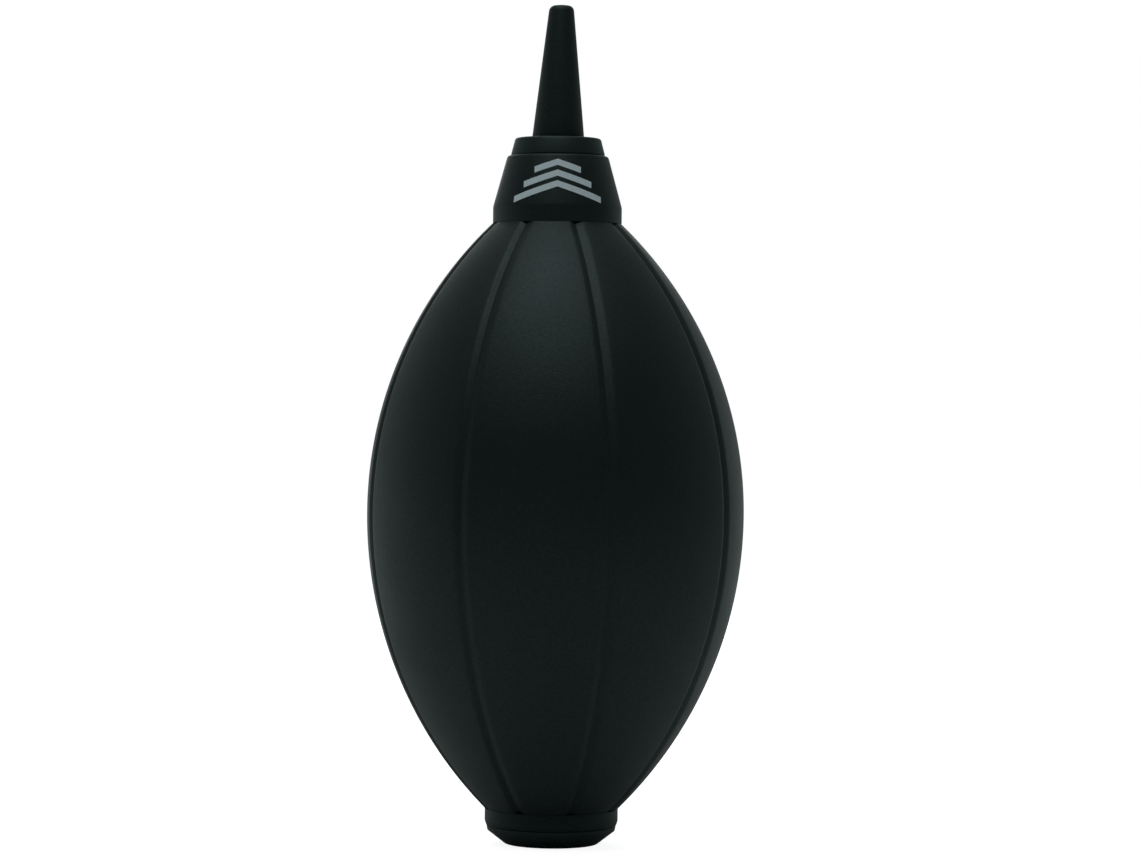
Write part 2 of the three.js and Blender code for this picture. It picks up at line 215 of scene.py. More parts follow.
class StageSettings(bpy.types.PropertyGroup):
    """Camera, floor and lights."""

    camera_turn: FloatProperty(
        name="Camera turn", description="Where the camera stands, round from the front",
        default=math.radians(6.2), subtype="ANGLE",
    )
    camera_distance: length("Camera distance", "From the bulb's axis to the lens", 660)
    camera_height: length("Camera height", "Height of the lens over the floor", 81.5)
    aim_height: length("Aim height", "Height that the camera looks at", 74.55)
    aim_side: length("Aim side", "How far to the right of the axis the camera looks", 2.65)
    roll: FloatProperty(name="Roll", description="Camera roll", default=math.radians(0.6), subtype="ANGLE")
    lens: FloatProperty(name="Lens", description="Focal length on a 36 mm sensor, in millimetres", default=116.4)
    key: FloatProperty(name="Key", description="Power of the soft box overhead, in watts", default=1.9)
    rim: FloatProperty(name="Rim", description="Power of the soft box high behind, in watts", default=0.8)
    front: FloatProperty(name="Front", description="Brightness of the room behind the camera", default=0.011)
    back: FloatProperty(name="Back", description="Brightness of the room behind the object", default=0.55)
    right_share: FloatProperty(name="Right share", description="Right's brightness against the left's", default=0.58)


GROUPS = {
    "blower_bulb": BulbSettings,
    "blower_fittings": FittingSettings,
    "blower_mark": MarkSettings,
    "blower_finish": FinishSettings,
    "blower_stage": StageSettings,
}


# ---------- node trees ----------


def add_node(tree, kind, inputs=(), **settings):
    """Adds a node. Inputs go by number or name, each a plain value, a socket, or a node that gives its first output."""
    made = tree.nodes.new(kind)
    for name, value in settings.items():
        setattr(made, name, value)
    for key, value in inputs.items() if isinstance(inputs, dict) else enumerate(inputs):
        if isinstance(value, bpy.types.Node):
            tree.links.new(value.outputs[0], made.inputs[key])
        elif isinstance(value, bpy.types.NodeSocket):
            tree.links.new(value, made.inputs[key])
        elif value is not None:
            made.inputs[key].default_value = value
    return made


def linear(hex_value):
    """An sRGB hex colour as linear RGBA."""
    parts = [int(hex_value[i : i + 2], 16) / 255 for i in (1, 3, 5)]
    return (*[p / 12.92 if p <= 0.04045 else ((p + 0.055) / 1.055) ** 2.4 for p in parts], 1.0)


def shade(rgba, factor):
    """The same colour, lighter or darker."""
    return (*[min(1.0, c * factor) for c in rgba[:3]], rgba[3])


def new_material(name):
    """An empty node material, its tree and its Object coordinates."""
    made = bpy.data.materials.new(name)
    made.use_nodes = True
    tree = made.node_tree
    tree.nodes.clear()
    return made, tree, add_node(tree, "ShaderNodeTexCoord").outputs["Object"]


# ---------- materials ----------

COOL_SHINE = (0.68, 1.0, 0.98, 1.0)  # tint of the shine that gives the black its green cast


def clouded(tree, where, hex_value, size_mm, detail, low, high):
    """A colour that clouds between a darker and a lighter shade of itself, and the clouds that carry it."""
    base = linear(hex_value)
    cloud = add_node(tree, "ShaderNodeTexNoise", {"Vector": where, "Scale": 1 / (size_mm * MM), "Detail": detail})
    mixed = add_node(tree, "ShaderNodeMix", {0: cloud, "A": shade(base, low), "B": shade(base, high)}, data_type="RGBA")
    return mixed.outputs["Result"], cloud


def moulded_rubber(name, hex_value, roughness, grain_mm):
    """Silicone rubber pressed in a spark-eroded steel mould.

    The eye gets a deep, slightly green black with a soft wide sheen, a fine matt grain and mottle, and faint
    cloudy patches where fingers and mould release have polished or dulled the skin.
    """
    made, tree, where = new_material(name)
    tone, cloud = clouded(tree, where, hex_value, size_mm=14, detail=3.0, low=0.86, high=1.14)
    polish = add_node(tree, "ShaderNodeMapRange", [cloud, NOISE_LOW, NOISE_HIGH, roughness - 0.03, roughness + 0.03])
    mottle = add_node(tree, "ShaderNodeTexNoise", {"Vector": where, "Scale": 1 / (0.45 * MM), "Detail": 2.0})
    shine = add_node(tree, "ShaderNodeMapRange", [mottle, NOISE_LOW, NOISE_HIGH, 0.43, 0.57])
    # The true grain of such a mould is about 0.05 mm. It is drawn coarser, so that it shows.
    grain = add_node(tree, "ShaderNodeTexNoise", {"Vector": where, "Scale": 1 / (grain_mm * MM), "Detail": 4.0})
    skin = add_node(tree, "ShaderNodeBump", {"Height": grain.outputs["Fac"], "Strength": 0.5, "Distance": 0.06 * MM})
    surface = add_node(
        tree,
        "ShaderNodeBsdfPrincipled",
        {
            "Base Color": tone,
            "Roughness": polish,
            "Normal": skin,
            "IOR": 1.45,
            "Specular IOR Level": shine,
            "Specular Tint": COOL_SHINE,
            "Sheen Weight": 0.04,
            "Sheen Roughness": 0.5,
        },
    )
    add_node(tree, "ShaderNodeOutputMaterial", [surface])
    return made


def moulded_plastic(name, hex_value, roughness):
    """ABS, injection moulded in a lightly blasted tool.

    The eye gets an even dark surface, a little tighter in its shine than the rubber, with a fine satin grain.
    """
    made, tree, where = new_material(name)
    tone, _ = clouded(tree, where, hex_value, size_mm=6, detail=2.0, low=0.92, high=1.08)
    grain = add_node(tree, "ShaderNodeTexNoise", {"Vector": where, "Scale": 1 / (0.22 * MM), "Detail": 2.0})
    polish = add_node(tree, "ShaderNodeMapRange", [grain, NOISE_LOW, NOISE_HIGH, roughness - 0.04, roughness + 0.04])
    skin = add_node(tree, "ShaderNodeBump", {"Height": grain.outputs["Fac"], "Strength": 0.15, "Distance": 0.02 * MM})
    surface = add_node(
        tree,
        "ShaderNodeBsdfPrincipled",
        {"Base Color": tone, "Roughness": polish, "Normal": skin, "IOR": 1.5, "Specular Tint": COOL_SHINE},
    )
    add_node(tree, "ShaderNodeOutputMaterial", [surface])
    return made


def flap_silicone(name, hex_value):
    """Soft silicone sheet, die cut. The eye gets a milky, slightly see-through white with a smooth skin."""
    made, tree, where = new_material(name)
    tone, _ = clouded(tree, where, hex_value, size_mm=2.5, detail=2.0, low=0.9, high=1.05)
    surface = add_node(
        tree,
        "ShaderNodeBsdfPrincipled",
        {
            "Base Color": tone,
            "Roughness": 0.38,
            "IOR": 1.41,
            "Subsurface Weight": 0.35,
            "Subsurface Scale": 0.8 * MM,
        },
    )
    add_node(tree, "ShaderNodeOutputMaterial", [surface])
    return made


def filter_foam(name, hex_value):
    """Open-cell polyurethane foam, cut from sheet. The eye gets thin grey struts, with painted shade that darkens the
    pores between them, over a bump of the same cells.
    """
    made, tree, where = new_material(name)
    base = linear(hex_value)
    cells = add_node(
        tree, "ShaderNodeTexVoronoi", {"Vector": where, "Scale": 1 / (0.7 * MM)}, feature="DISTANCE_TO_EDGE"
    )
    pore_depth_and_shade = add_node(tree, "ShaderNodeMapRange", [cells.outputs["Distance"], 0.05, 0.3])
    # Painted shade: the pores are coloured at a quarter of the foam's shade, and the struts at one and a half times it.
    mixed = add_node(tree, "ShaderNodeMix", {0: pore_depth_and_shade, "A": shade(base, 1.5), "B": shade(base, 0.25)}, data_type="RGBA")
    tone = mixed.outputs["Result"]
    pores = add_node(tree, "ShaderNodeMath", [1.0, pore_depth_and_shade], operation="SUBTRACT")
    skin = add_node(tree, "ShaderNodeBump", {"Height": pores, "Strength": 0.8, "Distance": 0.3 * MM})
    surface = add_node(tree, "ShaderNodeBsdfPrincipled", {"Base Color": tone, "Roughness": 0.95, "Normal": skin})
    add_node(tree, "ShaderNodeOutputMaterial", [surface])
    return made


def pad_print_ink(name, hex_value):
    """Two-part ink, pad printed on rubber. The eye gets a flat pale grey-blue, a little thin in places."""
    made, tree, where = new_material(name)
    tone, _ = clouded(tree, where, hex_value, size_mm=0.8, detail=3.0, low=0.93, high=1.04)
    surface = add_node(tree, "ShaderNodeBsdfPrincipled", {"Base Color": tone, "Roughness": 0.6, "IOR": 1.48})
    add_node(tree, "ShaderNodeOutputMaterial", [surface])
    return made


def finish(name):
    """The material of that name, made from the scene's colours when it is first asked for."""
    if name in bpy.data.materials:
        return bpy.data.materials[name]
    look = bpy.context.scene.blower_finish
    makers = {
        "moulded_bulb_rubber": (moulded_rubber, look.rubber, {"roughness": 0.5, "grain_mm": 0.3}),
        "moulded_nozzle_silicone": (moulded_rubber, look.silicone, {"roughness": 0.55, "grain_mm": 0.22}),
        "moulded_plug_abs": (moulded_plastic, look.plastic, {"roughness": 0.5}),
        "moulded_cap_abs": (moulded_plastic, look.cap, {"roughness": 0.45}),
        "die_cut_flap_silicone": (flap_silicone, look.flap, {}),
        "open_cell_filter_foam": (filter_foam, look.foam, {}),
        "pad_print_ink": (pad_print_ink, look.ink, {}),
    }
    make, hex_value, settings = makers[name]
    return make(name, hex_value, **settings)


# ---------- shapes ----------


def rounded(corners):
    """Points round a closed outline of (radius, height, rounding) corners, all in metres."""
    points = []
    for i, (r, z, rounding) in enumerate(corners):
        here = np.array((r, z))
        if not rounding:
            points.append(here)
            continue
        before = np.array(corners[i - 1][:2]) - here
        after = np.array(corners[(i + 1) % len(corners)][:2]) - here
        before /= np.linalg.norm(before)
        after /= np.linalg.norm(after)
        half = math.acos(np.clip(before @ after, -1, 1)) / 2
        bisector = (before + after) / np.linalg.norm(before + after)
        centre = here + bisector * rounding / math.sin(half)
        first = here + before * rounding / math.tan(half) - centre
        last = here + after * rounding / math.tan(half) - centre
        sweep = math.pi - 2 * half
        for t in np.linspace(0, 1, CORNER_STEPS + 1):
            arm = (math.sin((1 - t) * sweep) * first + math.sin(t * sweep) * last) / math.sin(sweep)
            points.append(centre + arm)
    return np.array(points)


def turned_mesh(name, outline, turns, closed=True):
    """Spins a closed outline about Z through the given turns, measured from the front.

    The outline runs up its outer side. Turns are one row for all its points, or one row for each. A point on the
    axis becomes one pole, and an unclosed spin gets end caps.
    """
    outline = np.asarray(outline)
    rows = np.broadcast_to(turns, (len(outline), np.shape(turns)[-1]))
    made = bmesh.new()
    rings = []
    for (r, z), row in zip(outline, rows):
        if r < 1e-7:
            rings.append([made.verts.new((0, 0, z))] * len(row))
        else:
            rings.append([made.verts.new((r * math.sin(t), -r * math.cos(t), z)) for t in row])
    count = rows.shape[1]
    for i in range(len(rings)):
        lower, upper = rings[i], rings[(i + 1) % len(rings)]
        for j in range(count if closed else count - 1):
            k = (j + 1) % count
            corners = list(dict.fromkeys([lower[j], lower[k], upper[k], upper[j]]))
            if len(corners) > 2:
                made.faces.new(corners)
    if not closed:
        made.faces.new([ring[0] for ring in rings])
        made.faces.new([ring[-1] for ring in reversed(rings)])
    return mesh_of(made, name)


def mesh_of(made, name):
    """The mesh of a finished bmesh, which is freed."""
    mesh = bpy.data.meshes.new(name)
    made.to_mesh(mesh)
    made.free()
    return mesh


def upright(outline):
    """The outline, reversed if need be, so that it runs up its outer side."""
    r, z = np.asarray(outline).T
    turns_left = np.sum(r * np.roll(z, -1) - np.roll(r, -1) * z) > 0
    return outline if turns_left else outline[::-1]


def place(mesh):
    """Puts a mesh in the scene as an object of its name, at the origin."""
    made = bpy.data.objects.new(mesh.name, mesh)
    bpy.context.scene.collection.objects.link(made)
    return made


def with_tree(obj, tree, **inputs):
    """Replaces an object's mesh with what a Geometry Nodes tree makes of it."""
    modifier = obj.modifiers.new(tree.name, "NODES")
    modifier.node_group = tree
    sockets = {s.name: s.identifier for s in tree.interface.items_tree if s.in_out == "INPUT"}
    for name, value in inputs.items():
        modifier[sockets[name]] = value
    graph = bpy.context.evaluated_depsgraph_get()
    result = bpy.data.meshes.new_from_object(obj.evaluated_get(graph))
    obj.modifiers.remove(modifier)
    result.name = obj.data.name + "_made"
    obj.data = result
    return obj


def finish_mesh(obj, material):
    """Gives a piece its material and its shading."""
    obj.data.materials.clear()
    obj.data.materials.append(material)
    obj.data.shade_smooth()
    obj.data.set_sharp_from_angle(angle=CREASE)
    return obj


def turned(name, corners, turns=FULL_TURN):
    """A turned object, from (radius, height, rounding) corners in millimetres."""
    return place(turned_mesh(name, upright(rounded(np.array(corners) * MM)), turns))


def turned_piece(name, corners, material, body, node, turns=FULL_TURN):
    """A turned piece in its material, on its body."""
    return dress(finish_mesh(turned(name, corners, turns), finish(material)), body, node)


def disc_corners(radius, bottom, top, edge):
    """Corners of a plain disc, for turned and turned_piece."""
    return [(0, bottom, 0), (radius, bottom, edge), (radius, top, edge), (0, top, 0)]


def dress(piece, body, node=None):
    """Says what a piece rides on, and hides the CAD node that it stands for."""
    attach(piece, body)
    if node:
        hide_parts(node)
    return piece


# ---------- geometry node trees ----------


def new_tree(name, inputs):
    """A Geometry Nodes tree with a mesh in, a mesh out and the named inputs."""
    tree = bpy.data.node_groups.new(name, "GeometryNodeTree")
    tree.interface.new_socket("Mesh", in_out="INPUT", socket_type="NodeSocketGeometry")
    tree.interface.new_socket("Mesh", in_out="OUTPUT", socket_type="NodeSocketGeometry")
    for label, kind in inputs.items():
        tree.interface.new_socket(label, in_out="INPUT", socket_type="NodeSocket" + kind)
    return tree, add_node(tree, "NodeGroupInput").outputs


def end_tree(tree, geometry, material):
    """Ends a tree in Realize Instances and Set Material."""
    real = add_node(tree, "GeometryNodeRealizeInstances", [geometry])
    painted = add_node(tree, "GeometryNodeSetMaterial", {"Geometry": real, "Material": material})
    add_node(tree, "NodeGroupOutput", [painted])
    return tree


def panelled_wall_tree():
    """Presses crowned panels, V grooves with rounded shoulders, and a mould line into a turned bulb.

    Each point says in attributes whether it is "panelled", how far its wall leans ("steepness", the slant over the
    radius), and its share of the bulb's "slump". A groove's bottom lies where two panels meet, and its two flanks
    may differ in width.
    """
    tree, given = new_tree(
        "panelled_wall",
        {
            "Panels": "Float",
            "Crown": "Float",
            "Groove Left": "Float",
            "Groove Right": "Float",
            "Groove Depth": "Float",
            "Slump": "Float",
            "Line Turn": "Float",
            "Line Width": "Float",
            "Line Height": "Float",
            "Material": "Material",
        },
    )
    shoulder_softness = 0.2
    bottom_softness = 0.06
    where = add_node(tree, "GeometryNodeInputPosition")
    axes = add_node(tree, "ShaderNodeSeparateXYZ", [where])
    flat = add_node(tree, "ShaderNodeVectorMath", [where, (1, 1, 0)], operation="MULTIPLY")
    radius = add_node(tree, "ShaderNodeVectorMath", [flat], operation="LENGTH").outputs["Value"]
    front = add_node(tree, "ShaderNodeMath", [axes.outputs["Y"], -1.0], operation="MULTIPLY")
    turn = add_node(tree, "ShaderNodeMath", [axes.outputs["X"], front], operation="ARCTAN2")

    half_panel = add_node(tree, "ShaderNodeMath", [math.pi, given["Panels"]], operation="DIVIDE")
    minus_half = add_node(tree, "ShaderNodeMath", [half_panel, -1.0], operation="MULTIPLY")
    from_middle = add_node(tree, "ShaderNodeMath", [turn, half_panel, minus_half], operation="WRAP")
    share = add_node(tree, "ShaderNodeMath", [from_middle, half_panel], operation="DIVIDE")
    squared = add_node(tree, "ShaderNodeMath", [share, share], operation="MULTIPLY")
    crowned = add_node(tree, "ShaderNodeMath", [squared, given["Crown"], 1.0], operation="MULTIPLY_ADD")
    wall = add_node(tree, "ShaderNodeMath", [crowned, radius], operation="MULTIPLY")

    shifted = add_node(tree, "ShaderNodeMath", [turn, half_panel], operation="ADD")
    from_groove = add_node(tree, "ShaderNodeMath", [shifted, half_panel, minus_half], operation="WRAP")
    offset = add_node(tree, "ShaderNodeMath", [from_groove, radius], operation="MULTIPLY")
    to_right = add_node(tree, "ShaderNodeMath", [offset, given["Groove Right"]], operation="DIVIDE")
    left_side = add_node(tree, "ShaderNodeMath", [given["Groove Left"], -1.0], operation="MULTIPLY")
    to_left = add_node(tree, "ShaderNodeMath", [offset, left_side], operation="DIVIDE")
    across = add_node(tree, "ShaderNodeMath", [to_right, to_left], operation="MAXIMUM")
    across_squared = add_node(tree, "ShaderNodeMath", [across, across, bottom_softness**2], operation="MULTIPLY_ADD")
    softened = add_node(tree, "ShaderNodeMath", [across_squared], operation="SQRT")
    inside = add_node(tree, "ShaderNodeMath", [1.0, softened], operation="SUBTRACT")
    inside_squared = add_node(tree, "ShaderNodeMath", [inside, inside, shoulder_softness**2], operation="MULTIPLY_ADD")
    lifted = add_node(tree, "ShaderNodeMath", [inside_squared], operation="SQRT")
    doubled = add_node(tree, "ShaderNodeMath", [inside, lifted], operation="ADD")
    pressed = add_node(tree, "ShaderNodeMath", [doubled, given["Groove Depth"]], operation="MULTIPLY")
    steepness = add_node(tree, "GeometryNodeInputNamedAttribute", ["steepness"], data_type="FLOAT")
    depth = add_node(tree, "ShaderNodeMath", [pressed, steepness], operation="MULTIPLY")
    grooved = add_node(tree, "ShaderNodeMath", [depth, -0.5, wall], operation="MULTIPLY_ADD")

    past_line = add_node(tree, "ShaderNodeMath", [turn, given["Line Turn"]], operation="SUBTRACT")
    nearest = add_node(tree, "ShaderNodeMath", [past_line, math.pi / 2, -math.pi / 2], operation="WRAP")
    off_line = add_node(tree, "ShaderNodeMath", [nearest, radius], operation="MULTIPLY")
    off_share = add_node(tree, "ShaderNodeMath", [off_line, given["Line Width"]], operation="DIVIDE")
    ridge_side = add_node(tree, "ShaderNodeMath", [off_share], operation="ABSOLUTE")
    ridge_share = add_node(tree, "ShaderNodeMath", [1.0, ridge_side], operation="SUBTRACT")
    ridge = add_node(tree, "ShaderNodeMath", [ridge_share, 0.0], operation="MAXIMUM")
    lined = add_node(tree, "ShaderNodeMath", [ridge, given["Line Height"], grooved], operation="MULTIPLY_ADD")

    factor = add_node(tree, "ShaderNodeMath", [lined, radius], operation="DIVIDE")
    change = add_node(tree, "ShaderNodeMath", [factor, 1.0], operation="SUBTRACT")
    weight = add_node(tree, "GeometryNodeInputNamedAttribute", ["panelled"], data_type="FLOAT")
    weighed = add_node(tree, "ShaderNodeMath", [change, weight], operation="MULTIPLY")
    outward = add_node(tree, "ShaderNodeVectorMath", {0: flat, "Scale": weighed}, operation="SCALE")
    slump_share = add_node(tree, "GeometryNodeInputNamedAttribute", ["slump"], data_type="FLOAT")
    slumped = add_node(tree, "ShaderNodeMath", [slump_share, given["Slump"]], operation="MULTIPLY")
    aside = add_node(tree, "ShaderNodeCombineXYZ", {"X": slumped})
    move = add_node(tree, "ShaderNodeVectorMath", [outward, aside], operation="ADD")
    moved = add_node(tree, "GeometryNodeSetPosition", {"Geometry": given["Mesh"], "Offset": move})
    return end_tree(tree, moved, given["Material"])


def ring_of_openings_tree():
    """Cuts a cutter, repeated round Z, out of a piece."""
    tree, given = new_tree("ring_of_openings", {"Cutter": "Object", "Count": "Int", "Material": "Material"})
    cutter = add_node(tree, "GeometryNodeObjectInfo", [given["Cutter"]])
    points = add_node(tree, "GeometryNodeMeshLine", {"Count": given["Count"], "Offset": (0, 0, 0)})
    step = add_node(tree, "ShaderNodeMath", [TAU, given["Count"]], operation="DIVIDE")
    number = add_node(tree, "GeometryNodeInputIndex")
    turn = add_node(tree, "ShaderNodeMath", [number, step], operation="MULTIPLY")
    spin = add_node(tree, "ShaderNodeCombineXYZ", {"Z": turn})
    copies = add_node(
        tree,
        "GeometryNodeInstanceOnPoints",
        {"Points": points, "Instance": cutter.outputs["Geometry"], "Rotation": spin},
    )
    real = add_node(tree, "GeometryNodeRealizeInstances", [copies])
    cut = add_node(
        tree,
        "GeometryNodeMeshBoolean",
        {"Mesh 1": given["Mesh"], "Mesh 2": real},
        operation="DIFFERENCE",
        solver="EXACT",
    )
    return end_tree(tree, cut, given["Material"])


def printed_mark_tree():
    """Repeats a flat bar up the neck's slope, bends the copies into chevrons and wraps them round the neck.

    In the flat bar x runs round the neck, y up its slope and z out of it.
    """
    tree, given = new_tree(
        "printed_mark",
        {
            "Count": "Int",
            "Pitch": "Float",
            "Taper": "Float",
            "Arm Slope": "Float",
            "Turn": "Float",
            "Bottom Height": "Float",
            "Bottom Radius": "Float",
            "Slope": "Float",
            "Material": "Material",
        },
    )
    points = add_node(tree, "GeometryNodeMeshLine", {"Count": given["Count"], "Offset": (0, 0, 0)})
    number = add_node(tree, "GeometryNodeInputIndex")
    up = add_node(tree, "ShaderNodeMath", [number, given["Pitch"]], operation="MULTIPLY")
    rung = add_node(tree, "ShaderNodeCombineXYZ", {"Y": up})
    rungs = add_node(tree, "GeometryNodeSetPosition", {"Geometry": points, "Offset": rung})
    lost = add_node(tree, "ShaderNodeMath", [number, given["Taper"]], operation="MULTIPLY")
    kept = add_node(tree, "ShaderNodeMath", [1.0, lost], operation="SUBTRACT")
    size = add_node(tree, "ShaderNodeCombineXYZ", {"X": kept, "Y": 1.0, "Z": 1.0})
    copies = add_node(tree, "GeometryNodeInstanceOnPoints", {"Points": rungs, "Instance": given["Mesh"], "Scale": size})
    real = add_node(tree, "GeometryNodeRealizeInstances", [copies])

    where = add_node(tree, "GeometryNodeInputPosition")
    axes = add_node(tree, "ShaderNodeSeparateXYZ", [where])
    rise = add_node(tree, "ShaderNodeMath", [given["Slope"]], operation="COSINE")
    run = add_node(tree, "ShaderNodeMath", [given["Slope"]], operation="SINE")
    inward = add_node(tree, "ShaderNodeMath", [run, -1.0], operation="MULTIPLY")
    sideways = add_node(tree, "ShaderNodeMath", [axes.outputs["X"]], operation="ABSOLUTE")
    fall = add_node(tree, "ShaderNodeMath", [sideways, given["Arm Slope"]], operation="MULTIPLY")
    height = add_node(tree, "ShaderNodeMath", [axes.outputs["Y"], fall], operation="SUBTRACT")
    base_radius = add_node(tree, "ShaderNodeMath", [height, inward, given["Bottom Radius"]], operation="MULTIPLY_ADD")
    radius = add_node(tree, "ShaderNodeMath", [axes.outputs["Z"], base_radius], operation="ADD")
    arc = add_node(tree, "ShaderNodeMath", [axes.outputs["X"], base_radius], operation="DIVIDE")
    turn = add_node(tree, "ShaderNodeMath", [arc, given["Turn"]], operation="ADD")
    sine = add_node(tree, "ShaderNodeMath", [turn], operation="SINE")
    cosine = add_node(tree, "ShaderNodeMath", [turn], operation="COSINE")
    x = add_node(tree, "ShaderNodeMath", [sine, radius], operation="MULTIPLY")
    outwards = add_node(tree, "ShaderNodeMath", [cosine, radius], operation="MULTIPLY")
    y = add_node(tree, "ShaderNodeMath", [outwards, -1.0], operation="MULTIPLY")
    z = add_node(tree, "ShaderNodeMath", [height, rise, given["Bottom Height"]], operation="MULTIPLY_ADD")
    there = add_node(tree, "ShaderNodeCombineXYZ", [x, y, z])
    wrapped = add_node(tree, "GeometryNodeSetPosition", {"Geometry": real, "Position": there})
    return end_tree(tree, wrapped, given["Material"])


# ---------- bulb ----------


def meridian_arc(size, z):
    """Radius of the wall's arc at a height: one arc runs from the waist to the neck, another to the foot."""
    if z > size.waist_height:
        rise, run = size.neck_bottom - size.waist_height, size.waist_radius - size.neck_radius
    else:
        rise, run = size.foot_top - size.waist_height, size.waist_radius - size.foot_radius
    return (rise**2 + run**2) / (2 * run)


def meridian_radius(size, z, inset=0.0):
    """Radius of the bulb's wall at a height."""
    arc = meridian_arc(size, z)
    return size.waist_radius - arc + math.sqrt((arc - inset) ** 2 - (z - size.waist_height) ** 2)


def wall_steepness(size, heights):
    """How much longer a step through the wall is along the radius than square to the wall."""
    leans = [min(STEEPEST, abs(z - size.waist_height) / meridian_arc(size, z)) for z in heights]
    return 1 / np.sqrt(1 - np.square(leans))


def meridian(size, low, high, steps, inset=0.0):
    """Points up the wall, closer together towards its two ends."""
    middle, reach = (low + high) / 2, (high - low) / 2
    heights = [middle - reach * math.cos(math.pi * i / steps) for i in range(steps + 1)]
    return [(meridian_radius(size, z, inset), z) for z in heights]


def bulb_outline(size):
    """The bulb's section, and which of its points lie on the panels."""
    ledge = 0.04 * MM
    edge = 0.06 * MM
    foot = [
        (size.foot_bore, size.foot_bottom, 0.3 * MM),
        (size.foot_bottom_radius, size.foot_bottom, 0.12 * MM),
        (size.foot_radius, size.foot_taper, 1.0 * MM),
        (size.foot_radius, size.foot_top - ledge, edge),
    ]
    panels = meridian(size, size.foot_top, size.neck_bottom, OUTSIDE_STEPS)
    neck = [
        (size.neck_radius, size.neck_bottom + ledge, edge),
        (size.neck_radius, size.neck_shoulder, 2.4 * MM),
        (size.neck_top_radius, size.neck_top, 0.6 * MM),
        (size.neck_bore, size.neck_top, 0.3 * MM),
    ]
    # The hollow ends a little inside foot and neck, and bends over into their bores.
    bend = 4 * MM
    inner_low = size.foot_top + 3.6 * MM
    inner_high = size.neck_bottom - 3.4 * MM
    inside = meridian(size, inner_low + bend, inner_high - bend, INSIDE_STEPS, size.wall)
    # The ledge corners need a neighbour inside the wall for their rounding.
    low = rounded([(size.foot_bore, size.foot_bottom + MM, 0), *foot, (size.neck_bore, size.foot_top, 0)])[1:-1]
    high = rounded([(size.neck_bore, size.neck_bottom, 0), *neck, (size.neck_bore, size.neck_bottom, 0)])[1:-1]
    points = [*low, *panels, *high, (size.neck_bore, inner_high), *inside[::-1], (size.foot_bore, inner_low)]
    panelled = np.zeros(len(points), bool)
    panelled[len(low) : len(low) + len(panels)] = True
    return np.array(points), panelled


def panel_stations(size, first, last):
    """Turns from first to last as they lie at the waist, close together at the grooves and the mould lines."""
    pitch = TAU / size.panels
    left = FLANK_STATIONS * size.groove_left / size.waist_radius
    right = FLANK_STATIONS * size.groove_right / size.waist_radius
    ring = []
    for i in range(size.panels):
        centre = (i + 0.5) * pitch
        plain = np.linspace(centre + right[-1], centre + pitch - left[-1], PLAIN_STATIONS)
        ring += [*(centre - left), *(centre + right), *plain]
    beside_line = LINE_STATIONS / size.waist_radius
    for i in range(2):
        line = size.mould_line_turn + i * math.pi
        ring += [*(line - beside_line), *(line + beside_line)]
    ring = np.unique(np.round(np.mod(np.array(ring), TAU), 6))
    ring = np.concatenate([ring - TAU, ring, ring + TAU])
    inner = ring[(ring > first + SEAM_GAP) & (ring < last - SEAM_GAP)]
    return np.concatenate([[first], inner, [last]])


def grooved_turns(size, turns, radius):
    """The stations moved so that a groove keeps its width at every height."""
    pitch = TAU / size.panels
    off = (turns + pitch) % pitch - pitch / 2
    groove = turns - off
    flank = np.where(off < 0, size.groove_left, size.groove_right) * GROOVE_REACH
    there, here = flank / size.waist_radius, flank / radius
    share = np.abs(off)
    past = here + (share - there) * (pitch / 2 - here) / (pitch / 2 - there)
    return groove + np.sign(off) * np.where(share < there, share * here / there, past)


def bulb_half(size, name, first, last):
    """One half of the bulb, cut where its sides never move."""
    outline, panelled = bulb_outline(size)
    turns = panel_stations(size, first, last)
    rows = [grooved_turns(size, turns, r) if wall else turns for (r, _), wall in zip(outline, panelled)]
    mesh = turned_mesh(name, outline, rows, closed=False)
    up = (outline[:, 1] - size.foot_top) / (size.neck_bottom - size.foot_top)
    shares = {
        "panelled": panelled,
        "steepness": wall_steepness(size, outline[:, 1]),
        "slump": panelled * 4 * up * (1 - up),
    }
    for label, values in shares.items():
        attribute = mesh.attributes.new(label, "FLOAT", "POINT")
        attribute.data.foreach_set("value", np.repeat(values, len(turns)).astype(np.float32))
    return place(mesh)


class BLOWER_OT_bulb(bpy.types.Operator):
    """Moulds the bulb as a front and a rear half, in place of the bulb and its front and rear walls"""

    bl_idname = "blower.bulb"
    bl_label = "Bulb"

    def execute(self, context):
        size = context.scene.blower_bulb
        tree = panelled_wall_tree()
        quarter = TAU / 4
        halves = {
            "bulb_front": (-quarter, quarter, "front_wall", -1),
            "bulb_rear": (quarter, 3 * quarter, "rear_wall", 1),
        }
        for name, (first, last, wall, side) in halves.items():
            half = with_tree(
                bulb_half(size, name, first, last),
                tree,
                Panels=float(size.panels),
                Crown=size.crown,
                **{
                    "Groove Left": size.groove_left,
                    "Groove Right": size.groove_right,
                    "Groove Depth": size.groove_depth,
                    "Slump": size.slump,
                    "Line Turn": size.mould_line_turn,
                    "Line Width": size.mould_line_width,
                    "Line Height": size.mould_line_height,
                    "Material": finish("moulded_bulb_rubber"),
                },
            )
            finish_mesh(half, finish("moulded_bulb_rubber"))
            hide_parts("bulb", wall)
            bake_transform(half)
        return {"FINISHED"}


# ---------- valve parts ----------


def flap(name, node, size):
    """A die-cut valve flap."""
    turned_piece(
        name,
        disc_corners(size.radius, size.bottom, size.bottom + size.thickness, 0.12),
        "die_cut_flap_silicone",
        node,
        node,
        turns=FULL_TURN[::2],
    )


